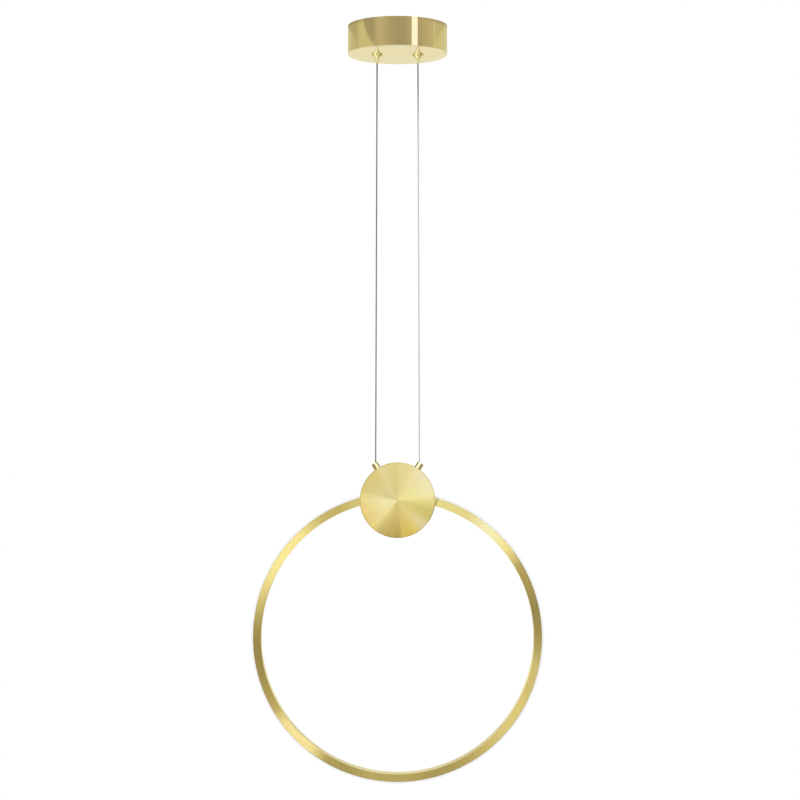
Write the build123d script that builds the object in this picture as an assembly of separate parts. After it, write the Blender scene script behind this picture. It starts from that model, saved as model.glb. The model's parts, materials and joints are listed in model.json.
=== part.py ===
from build123d import *
import math
import os

# A ring-shaped LED pendant on two wires. Millimetres and degrees.
# The origin is on the ceiling at the canopy's axis, +Z is up and the front faces -Y.

# Clearances
fit_gap = 0.05
running_gap = 0.1
ring_gap = 0.2
free_gap = 0.3

# Canopy cup
canopy_diameter = 136.0
canopy_drop = 40.0
canopy_rim_gap = 0.5
canopy_wall = 1.2
canopy_floor = 1.5
canopy_edge_chamfer = 0.8

# Ceiling bracket and the screws that hold the cup to it
bracket_width = 20.0
bracket_gauge = 2.0
bracket_tab_drop = 18.0
bracket_bend_radius = 3.0
bracket_tab_gap = 0.25
slot_spacing = 92.0
slot_length = 14.0
slot_width = 5.0
grub_screw_radius = 2.0
grub_screw_length = 5.5
grub_screw_drop = 12.0
hex_key_size = 2.0
hex_key_depth = 2.5

# Mains terminal and earth point under the bracket
pole_pitch = 8.0
pole_count = 3
terminal_end_wall = 1.0
terminal_depth = 14.0
terminal_height = 13.0
terminal_edge_radius = 0.8
lead_entry_radius = 1.5
lead_entry_depth = 4.5
lead_entry_drop = 7.0
clamp_hole_radius = 1.6
clamp_hole_depth = 3.0
clamp_hole_inset = 3.5
terminal_screw_radius = 1.5
terminal_screw_head_radius = 2.6
terminal_screw_head_height = 2.0
terminal_recess_depth = 8.0
screw_top_cover = 0.3
earth_screw_offset = 20.0
earth_screw_radius = 2.0
earth_screw_head_radius = 3.6
earth_screw_head_height = 2.4
earth_tag_radius = 4.0
earth_tag_gauge = 0.8
earth_tag_tongue_width = 3.0
earth_tag_tongue_reach = 9.0

# LED driver on its foam pad
driver_length = 70.0
driver_width = 32.0
driver_height = 20.0
driver_offset = 30.0
driver_edge_radius = 2.0
driver_lid_height = 5.0
driver_seam = 0.6
driver_lead_spread = 16.0
pad_margin = 4.0
pad_thickness = 1.0

# Leads
mains_lead_radius = 1.1
low_voltage_lead_radius = 1.0
hub_lead_radius = 0.8
largest_arc_share = 0.45

# Suspension wires
wire_radius = 0.9
gripper_spacing = 56.0
ceiling_to_hub = 650.0
wire_bore_radius = 1.2

# Wire grippers under the canopy
stem_radius = 5.0
stem_length = 16.0
flange_radius = 8.0
flange_thickness = 2.0
barrel_radius = 4.5
barrel_length = 3.5
barrel_chamfer = 0.6
chamber_radius = 3.3
cap_thickness = 2.5
seat_cone_angle = 12.0
grip_ball_radius = 1.0
grip_ball_count = 3
grip_ball_height = 6.0
plunger_radius = 2.1
plunger_collar_radius = 2.5
plunger_reach = 6.0
plunger_lip = 1.5
plunger_nose_chamfer = 0.5
spring_inner_radius = 1.5
spring_outer_radius = 2.3
nut_flats = 14.0
nut_thickness = 4.0
splice_radius = 2.2
splice_length = 8.0
splice_crimp = 3.0
splice_lift = 1.0

# Hub shells
hub_diameter = 103.0
hub_depth = 26.0
hub_wall = 2.5
hub_front_plate = 2.5
hub_rear_plate = 2.5
hub_edge_chamfer = 1.2
boss_circle_radius = 38.5
boss_radius = 4.0
boss_count = 3
shell_screw_radius = 1.5
shell_screw_head_radius = 3.0
shell_screw_bite = 7.0
shell_screw_key_size = 2.0
shell_screw_key_depth = 1.4

# Wire fittings on the hub's rim
fitting_angle = 32.5
fitting_radius = 4.9
fitting_reach = 8.1
fitting_tail = 10.0
ball_reach = 4.3
ball_radius = 2.8
ball_socket_height = 0.8
tilt_range = 20.0
mouth_gap = 0.35
bush_wall = 0.9
bush_flange_radius = 7.5
bush_flange_thickness = 1.2
bush_recess = 0.5
fitting_nut_flats = 12.0
fitting_nut_thickness = 3.5

# Ring, with arcs measured along the channel's inner side from the ring's top
ring_diameter = 400.0
ring_depth = 18.0
channel_height = 10.8
channel_gauge = 1.5
channel_edge_chamfer = 0.5
diffuser_cap = 2.5
diffuser_corner_radius = 1.2
diffuser_leg_gauge = 1.5
diffuser_leg_length = 5.0
rim_above_hub_center = 12.5
channel_end_arc = 21.5
bar_end_arc = 34.2
strip_end_arc = 39.8
diffuser_end_arc = 43.0
bar_height = 5.8
clamp_pad_start_arc = 24.4
clamp_pad_end_arc = 44.0
clamp_pad_inset = 1.5
joint_screw_arc = 27.7
joint_screw_spread = 8.0
joint_screw_radius = 1.5
joint_screw_head_radius = 2.75
joint_screw_head_height = 1.8
joint_screw_bite = 4.0

# LED strip
strip_width = 10.0
strip_gauge = 0.4
chip_length = 3.5
chip_width = 2.8
chip_height = 0.8
chip_count = 66
first_chip_arc = 55.4
strip_lead_arc = 42.4
strip_lead_spread = 5.0
strip_lead_hole_radius = 1.2

# Connection board inside the hub
board_width = 32.0
board_height = 20.0
board_gauge = 1.6
board_top_drop = 12.0
board_front = 2.0
board_post_radius = 3.0
board_post_spacing = 26.0
board_post_drop = 28.5
board_screw_radius = 1.25
board_screw_head_radius = 2.6
board_screw_head_height = 1.8
board_screw_bite = 5.0
connector_width = 22.0
connector_height = 9.0
connector_depth = 6.5
connector_top_drop = 14.0
contact_lead_spread = 12.0
port_spacing = 3.0

# Worked-out places
canopy_radius = canopy_diameter / 2
canopy_inner_radius = canopy_radius - canopy_wall
canopy_underside = -canopy_drop
floor_top = canopy_underside + canopy_floor
tab_face = math.sqrt(canopy_inner_radius**2 - (bracket_width / 2) ** 2) - bracket_tab_gap
terminal_top = -bracket_gauge
terminal_underside = terminal_top - terminal_height
terminal_length = pole_pitch * pole_count + 2 * terminal_end_wall
lead_entry_z = terminal_top - lead_entry_drop
pad_top = floor_top + pad_thickness
driver_top = pad_top + driver_height
driver_lead_z = pad_top + driver_height / 2
gripper_x = gripper_spacing / 2
stem_top = canopy_underside + stem_length
flange_underside = canopy_underside - flange_thickness
barrel_underside = flange_underside - barrel_length
plunger_tip = barrel_underside - plunger_reach
lip_top = barrel_underside + plunger_lip
collar_underside = lip_top + free_gap
grip_ball_z = barrel_underside + grip_ball_height
grip_ball_offset = wire_radius + fit_gap + grip_ball_radius
plunger_top = grip_ball_z - grip_ball_radius - running_gap
cap_underside = stem_top - cap_thickness
splice_underside = stem_top + splice_lift
splice_top = splice_underside + splice_length
wire_pivot_z = plunger_tip - running_gap - wire_radius
hub_z = -ceiling_to_hub
hub_radius = hub_diameter / 2
hub_inner_radius = hub_radius - hub_wall
hub_front = -hub_depth / 2
hub_back = hub_depth / 2
front_plate_inside = hub_front + hub_front_plate
rear_plate_inside = hub_back - hub_rear_plate
ball_rho = hub_radius + ball_reach
mouth_rho = hub_radius + fitting_reach
fitting_end_rho = hub_radius - fitting_tail
ball_x = ball_rho * math.sin(math.radians(fitting_angle))
ball_z = hub_z + ball_rho * math.cos(math.radians(fitting_angle))
wire_end_z = ball_z + ball_socket_height
bush_seat_rho = math.sqrt(hub_inner_radius**2 - bush_flange_radius**2) - fit_gap
bush_radius = fitting_radius + fit_gap + bush_wall
nut_top_rho = bush_seat_rho - bush_flange_thickness
ring_radius = ring_diameter / 2
ring_z = hub_z + rim_above_hub_center - ring_radius
channel_outer = ring_radius - diffuser_cap
channel_inner = channel_outer - channel_height
web_outer = channel_inner + channel_gauge
half_depth = ring_depth / 2
flange_inside = half_depth - channel_gauge
strip_inner = web_outer + fit_gap
strip_outer = strip_inner + strip_gauge
bar_inner = web_outer + fit_gap
bar_outer = bar_inner + bar_height
degrees_per_mm = math.degrees(1 / channel_inner)
channel_end_angle = channel_end_arc * degrees_per_mm
bar_end_angle = bar_end_arc * degrees_per_mm
strip_end_angle = strip_end_arc * degrees_per_mm
diffuser_end_angle = diffuser_end_arc * degrees_per_mm
clamp_pad_start_angle = clamp_pad_start_arc * degrees_per_mm
clamp_pad_end_angle = clamp_pad_end_arc * degrees_per_mm
joint_screw_angle = joint_screw_arc * degrees_per_mm
first_chip_angle = first_chip_arc * degrees_per_mm
strip_lead_angle = strip_lead_arc * degrees_per_mm
board_back = board_front + board_gauge
board_top_z = hub_z - board_top_drop
connector_top_z = hub_z - connector_top_drop

hub_axis = Axis((0, 0, hub_z), (0, 1, 0))
ring_axis = Axis((0, 0, ring_z), (0, 1, 0))
sides = (("left", -1), ("right", 1))


def turned(outline):
    """A solid turned about the Z axis from (radius, height) points."""
    points = [(radius, 0, height) for radius, height in outline]
    return revolve(make_face(Polyline(*points, close=True)), Axis.Z)


def spun(outline):
    """A solid turned about the hub's axis from (radius, y) points."""
    points = [(radius, y, hub_z) for radius, y in outline]
    return revolve(make_face(Polyline(*points, close=True)), hub_axis)


def bent_round(section, start_angle, end_angle):
    """A section of (radius, y) lines at the ring's top, carried round the ring's axis."""
    face = make_face(section).rotate(ring_axis, start_angle)
    return revolve(face, ring_axis, end_angle - start_angle)


def section_lines(outline):
    """Closed straight lines through (radius, y) points at the top of the ring."""
    return Polyline(*[(0, y, ring_z + radius) for radius, y in outline], close=True)


def on_ring(angle, radius, y=0):
    """The place on the ring at an angle from its top, with local Z pointing outwards."""
    return Pos(0, 0, ring_z) * Rot(0, angle, 0) * Pos(0, y, radius)


def at_fitting(side):
    """The frame of a wire fitting: local Z runs out along its axis from the hub's centre."""
    return Pos(0, 0, hub_z) * Rot(0, side * fitting_angle, 0)


def upright(radius, low, high, x=0, y=0):
    """A vertical round bar between two heights."""
    bar = Cylinder(radius, high - low, align=(Align.CENTER, Align.CENTER, Align.MIN))
    return Pos(x, y, low) * bar


def crosswise(radius, near, far, x, z):
    """A round bar along Y between two depths."""
    bar = Cylinder(radius, far - near, align=(Align.CENTER, Align.CENTER, Align.MIN))
    return Pos(x, near, z) * Rot(-90, 0, 0) * bar


def sideways(radius, near, far, z):
    """A round bar along X between two places."""
    bar = Cylinder(radius, far - near, align=(Align.CENTER, Align.CENTER, Align.MIN))
    return Pos(near, 0, z) * Rot(0, 90, 0) * bar


def hexagon(flats, thickness):
    """A hexagonal bar that stands on its origin."""
    corner = flats / 2 / math.cos(math.radians(30))
    return extrude(RegularPolygon(corner, 6), thickness)


def lead(points, radius):
    """A round lead along straight runs, with the largest tangent arcs that the runs allow."""
    corners = [Vector(*p) for p in points]
    arcs = []
    for before, here, after in zip(corners, corners[1:], corners[2:]):
        turn = math.radians((here - before).get_angle(after - here))
        run = min((here - before).length, (after - here).length)
        arcs.append(largest_arc_share * run / math.tan(turn / 2))
    path = FilletPolyline(*corners, radius=arcs)
    section = Plane(origin=path @ 0, z_dir=path % 0) * Circle(radius)
    return sweep(section, path=path)


def save(name, *solids):
    """Writes one sub-part, whose identical pieces are separate solids of one node."""
    shape = solids[0] if len(solids) == 1 else Compound(children=list(solids))
    export_step(shape, f"parts/{name}.step")


def make_bracket():
    """A strap across the cup, with turned-down tabs, two ceiling slots and tapped holes."""
    inner_face = tab_face - bracket_gauge
    outline = [
        (-tab_face, -bracket_tab_drop),
        (-tab_face, 0),
        (tab_face, 0),
        (tab_face, -bracket_tab_drop),
        (inner_face, -bracket_tab_drop),
        (inner_face, -bracket_gauge),
        (-inner_face, -bracket_gauge),
        (-inner_face, -bracket_tab_drop),
    ]
    face = make_face(Polyline(*[(x, 0, z) for x, z in outline], close=True))
    strap = extrude(face, bracket_width / 2, both=True)
    bends = strap.edges().filter_by(Axis.Y).group_by(Axis.Z)
    strap = fillet(bends[-1], bracket_bend_radius)
    inner_bends = strap.edges().filter_by(Axis.Y).filter_by(
        lambda e: abs(e.center().Z + bracket_gauge) < fit_gap and abs(e.center().X) > slot_spacing / 2
    )
    strap = fillet(inner_bends, bracket_bend_radius - bracket_gauge)
    slot = extrude(SlotOverall(slot_length, slot_width), bracket_gauge, both=True)
    for _, side in sides:
        strap -= Pos(side * slot_spacing / 2, 0, 0) * slot
        strap -= upright(terminal_screw_radius, -bracket_gauge, 0, side * pole_pitch / 2)
        strap -= sideways(grub_screw_radius, side * tab_face - bracket_gauge,
                          side * tab_face + bracket_gauge, -grub_screw_drop)
    return strap - upright(earth_screw_radius, -bracket_gauge, 0, -earth_screw_offset)


def make_cup():
    """The drawn cup, with holes for the two grippers and the two side screws."""
    cup = turned([
        (0, canopy_underside),
        (canopy_radius, canopy_underside),
        (canopy_radius, -canopy_rim_gap),
        (canopy_inner_radius, -canopy_rim_gap),
        (canopy_inner_radius, floor_top),
        (0, floor_top),
    ])
    lower_edge = cup.edges().filter_by(GeomType.CIRCLE).group_by(Axis.Z)[0]
    cup = chamfer(lower_edge, canopy_edge_chamfer)
    for _, side in sides:
        hole = stem_radius + fit_gap
        cup -= upright(hole, canopy_underside, floor_top, side * gripper_x)
        near = side * canopy_radius - 2 * canopy_wall
        far = side * canopy_radius + 2 * canopy_wall
        cup -= sideways(grub_screw_radius + fit_gap, near, far, -grub_screw_drop)
    return cup


def make_grub_screw(side):
    """A socket set screw through the cup's wall into the bracket's tab, flush outside."""
    radius = grub_screw_radius - fit_gap
    screw = upright(radius, -grub_screw_length, 0)
    screw -= Pos(0, 0, -hex_key_depth) * hexagon(hex_key_size, hex_key_depth)
    return Pos(side * canopy_radius, 0, -grub_screw_drop) * Rot(0, side * 90, 0) * screw


def pole_x(index):
    """The place of a terminal pole along X."""
    return (index - (pole_count - 1) / 2) * pole_pitch


def make_terminal():
    """A screw terminal block with an entry on both sides and two clamp screws per pole."""
    align = (Align.CENTER, Align.CENTER, Align.MAX)
    block = Pos(0, 0, terminal_top) * Box(terminal_length, terminal_depth, terminal_height, align=align)
    block = fillet(block.edges().filter_by(Axis.Z), terminal_edge_radius)
    half = terminal_depth / 2
    for index in range(pole_count):
        for side in (-1, 1):
            near, far = sorted((side * half, side * (half - lead_entry_depth)))
            block -= crosswise(lead_entry_radius, near, far, pole_x(index), lead_entry_z)
            block -= upright(clamp_hole_radius, terminal_underside, terminal_underside + clamp_hole_depth,
                             pole_x(index), side * clamp_hole_inset)
    for _, side in sides:
        x = side * pole_pitch / 2
        recess = terminal_screw_head_radius + fit_gap
        block -= upright(recess, terminal_underside, terminal_underside + terminal_recess_depth, x)
        block -= upright(terminal_screw_radius + fit_gap, terminal_underside, terminal_top, x)
    return block


def make_terminal_screw(side):
    """A screw from the terminal's recess up into the bracket."""
    x = side * pole_pitch / 2
    head_top = terminal_underside + terminal_recess_depth
    head = upright(terminal_screw_head_radius, head_top - terminal_screw_head_height, head_top, x)
    return head + upright(terminal_screw_radius - fit_gap, head_top, -screw_top_cover, x)


def make_earth_tag():
    """A flat ring tag with a tongue for the earth lead."""
    low = -bracket_gauge - earth_tag_gauge
    ring = upright(earth_tag_radius, low, -bracket_gauge, -earth_screw_offset)
    tongue_align = (Align.CENTER, Align.MIN, Align.MIN)
    tongue = Box(earth_tag_tongue_width, earth_tag_tongue_reach, earth_tag_gauge, align=tongue_align)
    tag = ring + Pos(-earth_screw_offset, 0, low) * tongue
    return tag - upright(earth_screw_radius + fit_gap, low, -bracket_gauge, -earth_screw_offset)


def make_earth_screw():
    """A pan-head screw that holds the tag under the bracket."""
    seat = -bracket_gauge - earth_tag_gauge
    x = -earth_screw_offset
    head = upright(earth_screw_head_radius, seat - earth_screw_head_height, seat, x)
    return head + upright(earth_screw_radius - fit_gap, seat, -screw_top_cover, x)


def make_driver():
    """A moulded driver case with a lid seam round it."""
    align = (Align.CENTER, Align.CENTER, Align.MIN)
    case = Pos(0, driver_offset, pad_top) * Box(driver_length, driver_width, driver_height, align=align)
    case = fillet(case.edges().filter_by(Axis.Z), driver_edge_radius)
    seam_z = driver_top - driver_lid_height
    outside = Box(driver_length, driver_width, driver_seam, align=align)
    inside = Box(driver_length - 2 * driver_seam, driver_width - 2 * driver_seam, driver_seam, align=align)
    inside = fillet(inside.edges().filter_by(Axis.Z), driver_edge_radius - driver_seam)
    return case - Pos(0, driver_offset, seam_z) * (outside - inside)


def make_pad():
    """The foam pad under the driver."""
    align = (Align.CENTER, Align.CENTER, Align.MIN)
    length = driver_length - 2 * pad_margin
    width = driver_width - 2 * pad_margin
    return Pos(0, driver_offset, floor_top) * Box(length, width, pad_thickness, align=align)


def make_gripper_body(side):
    """A turned gripper: threaded stem, flange and barrel round a conical ball seat."""
    slope = math.tan(math.radians(seat_cone_angle))
    bore = plunger_collar_radius + running_gap
    seat_gap = (grip_ball_radius + fit_gap) / math.cos(math.radians(seat_cone_angle))
    seat_radius = grip_ball_offset + seat_gap
    cone_low = grip_ball_z - (seat_radius - bore) / slope
    cone_high = grip_ball_z + (chamber_radius - seat_radius) / slope
    body = turned([
        (plunger_radius + running_gap, barrel_underside),
        (barrel_radius - barrel_chamfer, barrel_underside),
        (barrel_radius, barrel_underside + barrel_chamfer),
        (barrel_radius, flange_underside),
        (flange_radius, flange_underside),
        (flange_radius, canopy_underside),
        (stem_radius, canopy_underside),
        (stem_radius, stem_top),
        (chamber_radius, stem_top),
        (chamber_radius, cone_high),
        (bore, cone_low),
        (bore, lip_top),
        (plunger_radius + running_gap, lip_top),
    ])
    return Pos(side * gripper_x, 0, 0) * body


def make_gripper_cap(side):
    """The screwed cap that closes the spring chamber and lets the wire's tail through."""
    cap = upright(chamber_radius - fit_gap, cap_underside, stem_top, side * gripper_x)
    return cap - upright(wire_bore_radius, cap_underside, stem_top, side * gripper_x)


def make_gripper_nut(side):
    """The nut that holds a gripper to the cup's floor."""
    nut = hexagon(nut_flats, nut_thickness) - upright(stem_radius + fit_gap, 0, nut_thickness)
    return Pos(side * gripper_x, 0, floor_top) * nut


def make_plunger(side):
    """The release plunger: a collared tube round the wire, with a chamfered nose."""
    plunger = turned([
        (wire_bore_radius, plunger_tip),
        (plunger_radius - plunger_nose_chamfer, plunger_tip),
        (plunger_radius, plunger_tip + plunger_nose_chamfer),
        (plunger_radius, collar_underside),
        (plunger_collar_radius, collar_underside),
        (plunger_collar_radius, plunger_top),
        (wire_bore_radius, plunger_top),
    ])
    return Pos(side * gripper_x, 0, 0) * plunger


def make_grip_balls(side):
    """The balls that wedge between the seat's cone and the wire."""
    step = 360 / grip_ball_count
    ball = Pos(grip_ball_offset, 0, grip_ball_z) * Sphere(grip_ball_radius)
    return [Pos(side * gripper_x, 0, 0) * Rot(0, 0, i * step) * ball for i in range(grip_ball_count)]


def make_spring(side):
    """The space of the spring that pushes the balls into the cone."""
    low = grip_ball_z + grip_ball_radius + running_gap
    sleeve = upright(spring_outer_radius, low, cap_underside, side * gripper_x)
    return sleeve - upright(spring_inner_radius, low, cap_underside, side * gripper_x)


def make_splice(side):
    """A crimp splice between a wire's tail and an output lead."""
    splice = upright(splice_radius, splice_underside, splice_top, side * gripper_x)
    tail_end = splice_underside + splice_crimp
    splice -= upright(wire_radius + fit_gap, splice_underside, tail_end, side * gripper_x)
    lead_bore = low_voltage_lead_radius + fit_gap
    return splice - upright(lead_bore, splice_top - splice_crimp, splice_top, side * gripper_x)


def make_tail(side):
    """The wire's fixed end, from the plunger's mouth up into the splice."""
    return upright(wire_radius, plunger_tip, splice_underside + splice_crimp, side * gripper_x)


def make_wire(side):
    """A taut wire from its pivot under the gripper down into its ball end."""
    top = Vector(side * gripper_x, 0, wire_pivot_z)
    run = Vector(side * ball_x, 0, wire_end_z) - top
    align = (Align.CENTER, Align.CENTER, Align.MIN)
    rod = Plane(origin=top, z_dir=run) * Cylinder(wire_radius, run.length - fit_gap, align=align)
    return rod + Pos(*top) * Sphere(wire_radius)


def make_wire_ball(side):
    """The ball swaged to a wire's lower end, with the socket that holds the wire."""
    ball = Pos(side * ball_x, 0, ball_z) * Sphere(ball_radius)
    socket = wire_radius + running_gap
    return ball - upright(socket, wire_end_z, ball_z + ball_radius, side * ball_x)


def make_shell(front):
    """One half of the hub: a chamfered plate and rim with screw bosses and ring clamp pads."""
    face = hub_front if front else hub_back
    inside = front_plate_inside if front else rear_plate_inside
    inward = 1 if front else -1
    shell = spun([
        (0, face),
        (hub_radius - hub_edge_chamfer, face),
        (hub_radius, face + inward * hub_edge_chamfer),
        (hub_radius, 0),
        (hub_inner_radius, 0),
        (hub_inner_radius, inside),
        (0, inside),
    ])
    ring_path = section_lines([
        (channel_inner - ring_gap, -half_depth - ring_gap),
        (ring_radius + ring_gap, -half_depth - ring_gap),
        (ring_radius + ring_gap, half_depth + ring_gap),
        (channel_inner - ring_gap, half_depth + ring_gap),
    ])
    shell -= bent_round(ring_path, 0, 360)
    for _, side in sides:
        hole = upright(bush_radius + fit_gap, fitting_end_rho, mouth_rho)
        shell -= at_fitting(side) * hole
        near, far = sorted((inside, -inward * half_depth))
        pad = section_lines([
            (channel_inner + clamp_pad_inset, near),
            (channel_outer - clamp_pad_inset, near),
            (channel_outer - clamp_pad_inset, far),
            (channel_inner + clamp_pad_inset, far),
        ])
        angles = sorted((side * clamp_pad_start_angle, side * clamp_pad_end_angle))
        shell += bent_round(pad, *angles)
    for x, z in boss_places():
        shell += crosswise(boss_radius, *sorted((inside, 0)), x, z)
        if front:
            depth = -shell_screw_bite - free_gap
            shell -= crosswise(shell_screw_radius, depth, 0, x, z)
        else:
            shell -= crosswise(shell_screw_radius + fit_gap, 0, hub_back, x, z)
            shell -= shell_screw_head(x, z, fit_gap)
    if not front:
        for x, z in board_posts():
            shell += crosswise(board_post_radius, board_back, rear_plate_inside, x, z)
            shell -= crosswise(board_screw_radius, board_back, board_back + board_screw_bite, x, z)
    return shell


def boss_places():
    """The (x, z) places of the shells' screw bosses, the first at the top."""
    angles = [math.radians(360 / boss_count * i) for i in range(boss_count)]
    radius = boss_circle_radius
    return [(radius * math.sin(a), hub_z + radius * math.cos(a)) for a in angles]


def shell_screw_head(x, z, gap):
    """A countersunk head, flush with the rear face."""
    height = shell_screw_head_radius - shell_screw_radius
    cone = Cone(shell_screw_radius + gap, shell_screw_head_radius + gap, height,
                align=(Align.CENTER, Align.CENTER, Align.MAX))
    return Pos(x, hub_back, z) * Rot(-90, 0, 0) * cone


def make_shell_screw(x, z):
    """A countersunk socket screw from the rear shell into the front shell's boss."""
    head_height = shell_screw_head_radius - shell_screw_radius
    shank = crosswise(shell_screw_radius - fit_gap, -shell_screw_bite, hub_back - head_height, x, z)
    socket = hexagon(shell_screw_key_size, shell_screw_key_depth)
    screw = shank + shell_screw_head(x, z, 0)
    return screw - Pos(x, hub_back - shell_screw_key_depth, z) * Rot(-90, 0, 0) * socket


def make_fitting(side):
    """A collar with a spherical seat for the wire's ball and a flared mouth for its tilt."""
    seat = ball_radius + running_gap
    steepest = math.acos(math.cos(math.radians(fitting_angle)) * math.cos(math.radians(tilt_range)))
    slope = math.tan(steepest)
    start = wire_radius / math.cos(steepest) + mouth_gap
    a = 1 + slope**2
    throat = (-slope * start + math.sqrt(a * seat**2 - start**2)) / a
    throat_radius = slope * throat + start
    mouth = slope * (mouth_rho - ball_rho) + start
    half_turn = math.atan2(throat, throat_radius) / 2
    on_seat = (seat * math.cos(half_turn), 0, ball_rho + seat * math.sin(half_turn))
    seat_start = (seat, 0, ball_rho)
    seat_end = (throat_radius, 0, ball_rho + throat)
    curve = ThreePointArc(seat_start, on_seat, seat_end)
    lines = Polyline(seat_end, (mouth, 0, mouth_rho), (fitting_radius, 0, mouth_rho),
                     (fitting_radius, 0, fitting_end_rho), (seat, 0, fitting_end_rho), seat_start)
    collar = revolve(make_face(curve + lines), Axis.Z)
    return at_fitting(side) * collar


def make_bush(side):
    """The insulating bush between a fitting and the hub's wall."""
    bore = fitting_radius + fit_gap
    bush = turned([
        (bore, nut_top_rho),
        (bush_flange_radius, nut_top_rho),
        (bush_flange_radius, bush_seat_rho),
        (bush_radius, bush_seat_rho),
        (bush_radius, hub_radius - bush_recess),
        (bore, hub_radius - bush_recess),
    ])
    return at_fitting(side) * bush


def make_fitting_nut(side):
    """The nut that draws a fitting and its bush against the hub's wall."""
    hole = upright(fitting_radius + fit_gap, 0, fitting_nut_thickness)
    nut = hexagon(fitting_nut_flats, fitting_nut_thickness) - hole
    return at_fitting(side) * Pos(0, 0, nut_top_rho - fitting_nut_thickness) * nut


def make_channel():
    """The ring's channel: an inner web and two flanges, open outwards, with its ends in the hub."""
    c = channel_edge_chamfer
    half = [
        (channel_inner, half_depth - c),
        (channel_inner + c, half_depth),
        (channel_outer - c, half_depth),
        (channel_outer, half_depth - c),
        (channel_outer, flange_inside),
        (web_outer, flange_inside),
    ]
    outline = half + [(radius, -y) for radius, y in reversed(half)]
    channel = bent_round(section_lines(outline), channel_end_angle, 360 - channel_end_angle)
    for angle, y in joint_screw_places():
        hole = upright(joint_screw_radius + fit_gap, -channel_gauge, channel_gauge)
        channel -= on_ring(angle, channel_inner + channel_gauge / 2, y) * hole
    for side in (-1, 1):
        hole = upright(strip_lead_hole_radius, -channel_gauge, channel_gauge)
        y = side * strip_lead_spread / 2
        channel -= on_ring(strip_lead_angle, channel_inner + channel_gauge / 2, y) * hole
    return channel


def joint_screw_places():
    """The (angle, y) places of the screws that hold the channel's ends to the joint bar."""
    angles = (-joint_screw_angle, joint_screw_angle)
    return [(angle, side * joint_screw_spread / 2) for angle in angles for side in (-1, 1)]


def make_joint_bar():
    """The curved bar inside the channel that bridges the ring's two ends."""
    half = flange_inside - ring_gap
    outline = [(bar_inner, -half), (bar_outer, -half), (bar_outer, half), (bar_inner, half)]
    bar = bent_round(section_lines(outline), -bar_end_angle, bar_end_angle)
    for angle, y in joint_screw_places():
        hole = upright(joint_screw_radius, -fit_gap, joint_screw_bite)
        bar -= on_ring(angle, bar_inner, y) * hole
    return bar


def make_joint_screw(angle, y):
    """A pan-head screw from inside the ring, through the web, into the joint bar."""
    head = upright(joint_screw_head_radius, -joint_screw_head_height, 0)
    shank = upright(joint_screw_radius - fit_gap, 0, bar_inner - channel_inner + joint_screw_bite - free_gap)
    return on_ring(angle, channel_inner - fit_gap, y) * (head + shank)


def make_diffuser():
    """The opal cover: a rounded cap over the channel's open side and two legs inside it."""
    inner = channel_outer + fit_gap
    leg_outer = flange_inside - running_gap
    leg_inner = leg_outer - diffuser_leg_gauge
    leg_end = channel_outer - diffuser_leg_length
    r = diffuser_corner_radius
    bulge = r * (1 - math.sqrt(0.5))
    half = [
        (ring_radius - r, half_depth),
        (inner, half_depth),
        (inner, leg_outer),
        (leg_end, leg_outer),
        (leg_end, leg_inner),
        (inner, leg_inner),
    ]
    inside = half + [(radius, -y) for radius, y in reversed(half)]

    def place(radius, y):
        return (0, y, ring_z + radius)

    corners = [
        ThreePointArc(
            place(ring_radius - r, side * half_depth),
            place(ring_radius - bulge, side * (half_depth - bulge)),
            place(ring_radius, side * (half_depth - r)),
        )
        for side in (-1, 1)
    ]
    crown = Line(place(ring_radius, r - half_depth), place(ring_radius, half_depth - r))
    section = Polyline(*[place(*point) for point in inside]) + corners[0] + crown + corners[1]
    return bent_round(section, diffuser_end_angle, 360 - diffuser_end_angle)


def make_strip():
    """The flexible LED strip on the web's outer side."""
    half = strip_width / 2
    outline = [(strip_inner, -half), (strip_outer, -half), (strip_outer, half), (strip_inner, half)]
    return bent_round(section_lines(outline), strip_end_angle, 360 - strip_end_angle)


def make_chips():
    """The LED chips along the strip, facing outwards."""
    align = (Align.CENTER, Align.CENTER, Align.MIN)
    chip = Box(chip_length, chip_width, chip_height, align=align)
    step = (360 - 2 * first_chip_angle) / (chip_count - 1)
    angles = [first_chip_angle + step * i for i in range(chip_count)]
    return [on_ring(angle, strip_outer) * chip for angle in angles]


def board_posts():
    """The (x, z) places of the posts that carry the connection board."""
    return [(side * board_post_spacing / 2, hub_z - board_post_drop) for _, side in sides]


def make_board():
    """The connection board on the rear shell's posts."""
    align = (Align.CENTER, Align.MIN, Align.MAX)
    board = Pos(0, board_front, board_top_z) * Box(board_width, board_gauge, board_height, align=align)
    for x, z in board_posts():
        board -= crosswise(board_screw_radius + fit_gap, board_front, board_back, x, z)
    return board


def make_board_screw(x, z):
    """A pan-head screw through the board into its post."""
    head = crosswise(board_screw_head_radius, board_front - board_screw_head_height, board_front, x, z)
    depth = board_back + board_screw_bite - free_gap
    return head + crosswise(board_screw_radius - fit_gap, board_front, depth, x, z)


def make_connector():
    """The connector block on the board that the hub's leads plug into."""
    align = (Align.CENTER, Align.MIN, Align.MAX)
    block = Box(connector_width, connector_depth, connector_height, align=align)
    return Pos(0, board_back, connector_top_z) * block


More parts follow.
